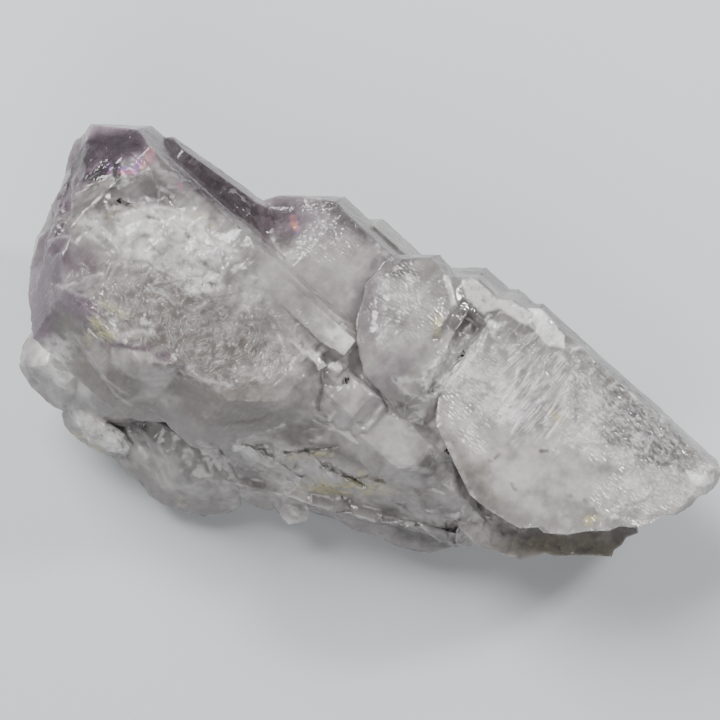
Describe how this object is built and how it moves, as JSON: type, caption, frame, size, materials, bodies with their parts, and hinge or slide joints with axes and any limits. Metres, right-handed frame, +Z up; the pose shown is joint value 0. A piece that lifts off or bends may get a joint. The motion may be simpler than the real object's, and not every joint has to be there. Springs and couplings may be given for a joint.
{
  "type": "cathedral amethyst crystal",
  "caption": "Stepped quartz specimen of parallel-grown crystals with a broken apex, lying on its rough base as a display stone.",
  "frame": {"origin": "middle of the underside of the specimen's box, on the surface it lies on", "axes": "+Z up; +X along the picture's width, from the broken head to the tail; the face that the picture shows looks up"},
  "size_m": [0.1415, 0.0852, 0.0481],
  "materials": {
    "quartz": "milky pale lilac quartz, glossy on the crystal faces and frosted where it is broken"
  },
  "bodies": {
    "root": {"cathedral_amethyst": "quartz"}
  },
  "joints": []
}
